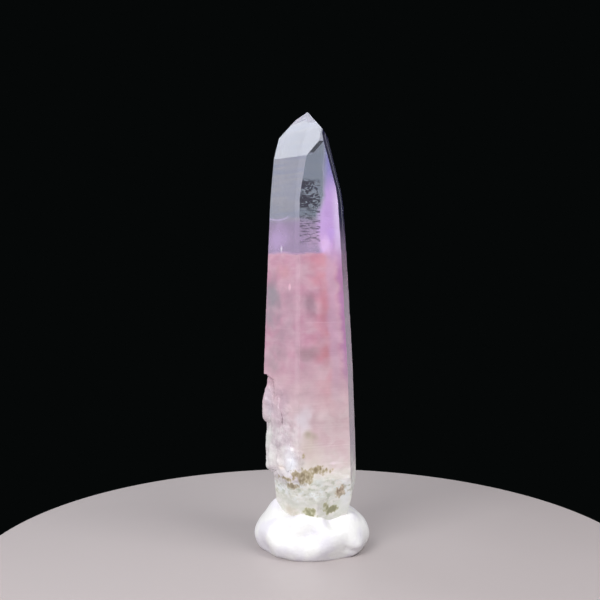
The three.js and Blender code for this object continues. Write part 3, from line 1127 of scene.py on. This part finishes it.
@dataclass
class PuttyPad:
    """The pad of putty, thumbed up against the crystal.

    Attributes:
        node: The name of its solid.
        sides: How many corners its outline is drawn with.
        profile_mm: Its outline from the underside to the top: distance from its middle, and height.
        depth_share: Its depth as a share of its width.
        smoothness: How many times its faces are divided.
        pushes: Thumb marks: a point, how far it is pushed, and over what radius, all in millimetres.
        ripple_mm: How deep its soft unevenness is.
        grip_share: The socket's width as a share of the crystal's, less than 1 so that no gap shows.
        finish: Its finish.
    """

    node: str = "putty_pad"
    sides: int = 28
    profile_mm: tuple[tuple[float, float], ...] = (
        (7.3, -0.6),
        (8.15, 0.45),
        (8.75, 1.6),
        (8.8, 2.6),
        (8.35, 3.7),
        (7.5, 4.75),
        (6.4, 5.6),
        (4.8, 6.15),
        (2.6, 6.3),
    )
    depth_share: float = 0.93
    smoothness: int = 3
    pushes: tuple[tuple[Triple, Triple, float], ...] = (
        ((-5.6, -1.0, 5.8), (0.2, 0.0, 1.7), 2.6),
        ((-1.6, -6.2, 5.6), (0.0, 0.0, 0.9), 2.6),
        ((0.8, -6.4, 5.4), (0.0, 0.0, 0.6), 2.2),
        ((3.4, -5.6, 5.4), (0.0, 0.0, -0.8), 2.2),
        ((6.0, -2.6, 5.2), (0.0, 0.0, 0.3), 2.2),
        ((-1.0, -8.0, 3.2), (0.1, 0.7, 0.0), 3.0),
        ((-5.0, -7.0, 4.0), (0.3, 0.5, 0.0), 2.6),
        ((-7.4, -4.0, 1.0), (0.5, 0.3, 0.0), 3.0),
        ((4.4, -7.2, 1.2), (-0.2, 0.4, 0.0), 3.0),
        ((6.6, -5.2, 1.0), (0.4, -0.3, 0.1), 2.4),
        ((5.2, -6.4, 1.4), (-0.08, 0.12, 0.0), 0.8),
        ((5.8, -5.9, 1.2), (-0.1, 0.15, 0.0), 0.8),
        ((6.4, -5.4, 1.05), (-0.15, 0.15, 0.0), 0.8),
        ((7.0, -4.8, 0.9), (-0.12, 0.12, 0.0), 0.8),
        ((3.0, 7.4, 2.4), (0.0, -0.6, 0.2), 3.0),
        ((-4.6, 6.2, 3.0), (0.2, -0.5, 0.3), 2.6),
    )
    ripple_mm: float = 0.14
    grip_share: float = 0.994
    finish: PuttyFinish = PuttyFinish()

    def lathe(self) -> bpy.types.Object:
        """Draws the outline up from the underside, ring by ring.

        Returns:
            The closed rough shape.
        """
        first_radius, first_height = self.profile_mm[0]
        bpy.ops.object.select_all(action="DESELECT")
        bpy.ops.mesh.primitive_circle_add(
            vertices=self.sides,
            radius=first_radius * MM,
            fill_type="TRIFAN",
            location=(0.0, 0.0, first_height * MM),
        )
        piece = bpy.context.object
        piece.name = piece.data.name = "putty"
        place_in_mesh(piece)
        bpy.ops.object.mode_set(mode="EDIT")
        bpy.ops.mesh.select_all(action="SELECT")
        for (radius, height), (wider, higher) in zip(self.profile_mm, self.profile_mm[1:]):
            rise = (0.0, 0.0, (higher - height) * MM)
            bpy.ops.mesh.extrude_region_move(TRANSFORM_OT_translate={"value": rise})
            share = wider / radius
            centre = (0.0, 0.0, higher * MM)
            bpy.ops.transform.resize(value=(share, share, 1.0), center_override=centre)
        bpy.ops.mesh.select_all(action="SELECT")
        bpy.ops.mesh.normals_make_consistent(inside=False)
        bpy.ops.transform.resize(value=(1.0, self.depth_share, 1.0), center_override=(0.0, 0.0, 0.0))
        bpy.ops.object.mode_set(mode="OBJECT")
        return piece

    def push(self, piece: bpy.types.Object, place: Triple, way: Triple, radius: float) -> None:
        """Pushes the putty around one point, as a thumb does.

        Args:
            piece: The putty.
            place: The point, in millimetres.
            way: How far it is pushed, in millimetres.
            radius: How far around it the push is felt, in millimetres.
        """
        settle(piece)
        target = Vector(place) * MM
        nearest = min(piece.data.vertices, key=lambda corner: (corner.co - target).length_squared)
        number = nearest.index
        bpy.ops.object.mode_set(mode="EDIT")
        bpy.ops.mesh.select_mode(type="VERT")
        bpy.ops.mesh.select_all(action="DESELECT")
        bpy.ops.object.mode_set(mode="OBJECT")
        piece.data.vertices[number].select = True
        bpy.ops.object.mode_set(mode="EDIT")
        bpy.ops.transform.translate(
            value=Vector(way) * MM,
            use_proportional_edit=True,
            proportional_edit_falloff="SMOOTH",
            proportional_size=radius * MM,
        )
        bpy.ops.object.mode_set(mode="OBJECT")

    def soften(self, piece: bpy.types.Object) -> None:
        """Rounds the rough shape and ripples it.

        Args:
            piece: The putty.
        """
        settle(piece)
        rounded = piece.modifiers.new("rounded", "SUBSURF")
        rounded.levels = rounded.render_levels = self.smoothness
        bpy.ops.object.modifier_apply(modifier=rounded.name)
        clouds = bpy.data.textures.new("putty ripple", "CLOUDS")
        clouds.noise_scale = 3.4 * MM
        clouds.noise_depth = 1
        ripple = piece.modifiers.new("ripple", "DISPLACE")
        ripple.texture = clouds
        ripple.texture_coords = "LOCAL"
        ripple.strength = self.ripple_mm * 2 * MM
        ripple.mid_level = 0.5
        bpy.ops.object.modifier_apply(modifier=ripple.name)

    def cut_flat(self, piece: bpy.types.Object) -> None:
        """Cuts the underside flat where it is pressed on the floor.

        Args:
            piece: The putty.
        """
        settle(piece)
        bpy.ops.object.mode_set(mode="EDIT")
        bpy.ops.mesh.select_all(action="SELECT")
        bpy.ops.mesh.bisect(
            plane_co=(0, 0, 0),
            plane_no=(0, 0, 1),
            use_fill=True,
            clear_inner=True,
            threshold=MM * 0.001,
        )
        bpy.ops.mesh.select_all(action="SELECT")
        bpy.ops.mesh.normals_make_consistent(inside=False)
        bpy.ops.object.mode_set(mode="OBJECT")

    def cut_socket(self, piece: bpy.types.Object, crystal: bpy.types.Object) -> None:
        """Cuts out the room that the crystal takes.

        Args:
            piece: The putty.
            crystal: The crystal.
        """
        cutter = crystal.copy()
        cutter.data = crystal.data.copy()
        bpy.context.scene.collection.objects.link(cutter)
        cutter.scale = (self.grip_share, self.grip_share, 1.0)
        place_in_mesh(cutter)
        settle(piece)
        socket = piece.modifiers.new("socket", "BOOLEAN")
        socket.operation = "DIFFERENCE"
        socket.solver = "EXACT"
        socket.object = cutter
        bpy.ops.object.modifier_apply(modifier=socket.name)
        bpy.data.objects.remove(cutter)

    def build(self, crystal: bpy.types.Object) -> bpy.types.Object:
        """Makes the pad.

        Args:
            crystal: The crystal that it grips.

        Returns:
            The finished piece.
        """
        piece = self.lathe()
        self.soften(piece)
        for place, way, radius in self.pushes:
            self.push(piece, place, way, radius)
        self.cut_flat(piece)
        self.cut_socket(piece, crystal)
        settle(piece)
        bpy.ops.object.shade_smooth_by_angle(angle=math.radians(45.0))
        dress(piece, self.finish.material())
        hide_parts(self.node)
        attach(piece, BODY)
        return piece


@dataclass
class Studio:
    """The floor, the lamps, the surroundings and the camera.

    Attributes:
        floor_radius: The radius of the round floor.
        floor_depth: Its thickness.
        lens: The camera's focal length in millimetres, on a sensor 36 mm wide.
        eye: Where the camera stands.
        tilt_degrees: How far it looks down.
        room_levels: How bright the room is from straight below, 0, to straight above, 1.
        flag_direction: Where a dark flag hangs, behind on the right.
        flag_degrees: The flag's radius, seen from the middle.
    """

    floor_radius: float = 0.050
    floor_depth: float = 0.003
    lens: float = 48.0
    eye: tuple[float, float, float] = (-0.001788, -0.1212, 0.0405)
    tilt_degrees: float = 1.43
    room_levels: tuple[tuple[float, float], ...] = (
        (0.0, 0.35),
        (0.3, 0.35),
        (0.44, 0.34),
        (0.5, 0.33),
        (0.62, 0.36),
        (0.8, 0.45),
        (1.0, 0.5),
    )
    flag_direction: tuple[float, float, float] = (0.40, 0.90, 0.21)
    flag_degrees: float = 13.0

    def floor(self) -> bpy.types.Object:
        """Makes the round pale floor.

        Returns:
            The floor.
        """
        bpy.ops.object.select_all(action="DESELECT")
        bpy.ops.mesh.primitive_cylinder_add(
            vertices=192,
            radius=self.floor_radius,
            depth=self.floor_depth,
            location=(0, 0, -self.floor_depth / 2),
        )
        disc = bpy.context.object
        disc.name = "floor"
        place_in_mesh(disc)
        rim = disc.modifiers.new("rim", "BEVEL")
        rim.width = 0.0006
        rim.segments = 4
        bpy.ops.object.modifier_apply(modifier=rim.name)
        bpy.ops.object.shade_smooth_by_angle(angle=math.radians(40.0))
        dress(disc, FloorFinish().material())
        return disc

    def lamp(self, name: str, place: Triple, aim: Triple, size: float, power: float, colour: Colour) -> None:
        """Adds one soft square lamp.

        Args:
            name: Its name.
            place: Where it is.
            aim: What it points at.
            size: The length of its side.
            power: Its power in watts.
            colour: Its colour.
        """
        data = bpy.data.lights.new(name, "AREA")
        data.size = size
        data.energy = power
        data.color = colour
        made = bpy.data.objects.new(name, data)
        made.location = place
        made.rotation_euler = (Vector(aim) - Vector(place)).to_track_quat("-Z", "Y").to_euler()
        bpy.context.scene.collection.objects.link(made)

    def surroundings(self) -> None:
        """Makes the world: a pale room with one dark flag, which the camera itself sees unlit."""
        world = bpy.data.worlds.new("room")
        world.use_nodes = True
        bpy.context.scene.world = world
        tree = world.node_tree
        tree.nodes.clear()
        coordinates = tree.nodes.new("ShaderNodeTexCoord")
        parts = tree.nodes.new("ShaderNodeSeparateXYZ")
        tree.links.new(coordinates.outputs["Generated"], parts.inputs[0])
        height = tree.nodes.new("ShaderNodeMapRange")
        tree.links.new(parts.outputs["Z"], height.inputs[0])
        height.inputs[1].default_value = -1.0
        height.inputs[2].default_value = 1.0
        ramp = tree.nodes.new("ShaderNodeValToRGB")
        tree.links.new(height.outputs[0], ramp.inputs[0])
        while len(ramp.color_ramp.elements) < len(self.room_levels):
            ramp.color_ramp.elements.new(0.5)
        for element, (spot, level) in zip(ramp.color_ramp.elements, self.room_levels):
            element.position = spot
            element.color = (level, level, level * 1.05, 1.0)
        near = tree.nodes.new("ShaderNodeVectorMath")
        near.operation = "DOT_PRODUCT"
        tree.links.new(coordinates.outputs["Generated"], near.inputs[0])
        near.inputs[1].default_value = Vector(self.flag_direction).normalized()
        flag = tree.nodes.new("ShaderNodeMapRange")
        flag.interpolation_type = "SMOOTHSTEP"
        tree.links.new(near.outputs["Value"], flag.inputs[0])
        flag.inputs[1].default_value = math.cos(math.radians(self.flag_degrees + 2.0))
        flag.inputs[2].default_value = math.cos(math.radians(self.flag_degrees - 2.0))
        flag.inputs[3].default_value = 1.0
        flag.inputs[4].default_value = 0.02
        room = tree.nodes.new("ShaderNodeBackground")
        tree.links.new(ramp.outputs[0], room.inputs["Color"])
        tree.links.new(flag.outputs[0], room.inputs["Strength"])
        unlit = tree.nodes.new("ShaderNodeBackground")
        unlit.inputs["Color"].default_value = (*srgb(6, 8, 8), 1.0)
        path = tree.nodes.new("ShaderNodeLightPath")
        both = tree.nodes.new("ShaderNodeMixShader")
        output = tree.nodes.new("ShaderNodeOutputWorld")
        tree.links.new(path.outputs["Is Camera Ray"], both.inputs[0])
        tree.links.new(room.outputs[0], both.inputs[1])
        tree.links.new(unlit.outputs[0], both.inputs[2])
        tree.links.new(both.outputs[0], output.inputs["Surface"])

    def lights(self) -> None:
        """Adds the lamps."""
        middle = (0.0, 0.0, 0.03)
        white = (1.0, 1.0, 1.0)
        self.lamp("tip", (-0.1225, 0.1012, 0.2525), (0.0, 0.0, 0.060), 0.100, 0.080, (0.93, 0.97, 1.0))
        self.lamp("front", (-0.13, -0.20, 0.19), middle, 0.15, 0.66, white)
        self.lamp("right", (0.13, -0.10, 0.24), middle, 0.12, 0.34, (1.0, 0.99, 0.98))

    def camera(self) -> None:
        """Adds the camera at the photograph's place."""
        data = bpy.data.cameras.new("camera")
        data.lens = self.lens
        data.sensor_width = 36.0
        data.clip_start = 0.005
        data.clip_end = 5.0
        made = bpy.data.objects.new("camera", data)
        made.location = self.eye
        made.rotation_euler = (math.radians(90.0 - self.tilt_degrees), 0.0, 0.0)
        bpy.context.scene.collection.objects.link(made)
        bpy.context.scene.camera = made

    def build(self) -> None:
        """Makes all of it."""
        self.camera()
        self.surroundings()
        self.lights()
        self.floor()
        bpy.context.scene.view_settings.view_transform = "Standard"


def main() -> None:
    """Builds the studio and every piece, and reports each."""
    logging.basicConfig(level=logging.INFO, format="%(name)s: %(message)s")
    Studio().build()
    LOG.info("studio is up")
    crystal = Crystal().build()
    putty = PuttyPad().build(crystal)
    for piece in (crystal, putty):
        LOG.info("%s has %d faces", piece.name, len(piece.data.polygons))


if __name__ == "__main__":
    main()
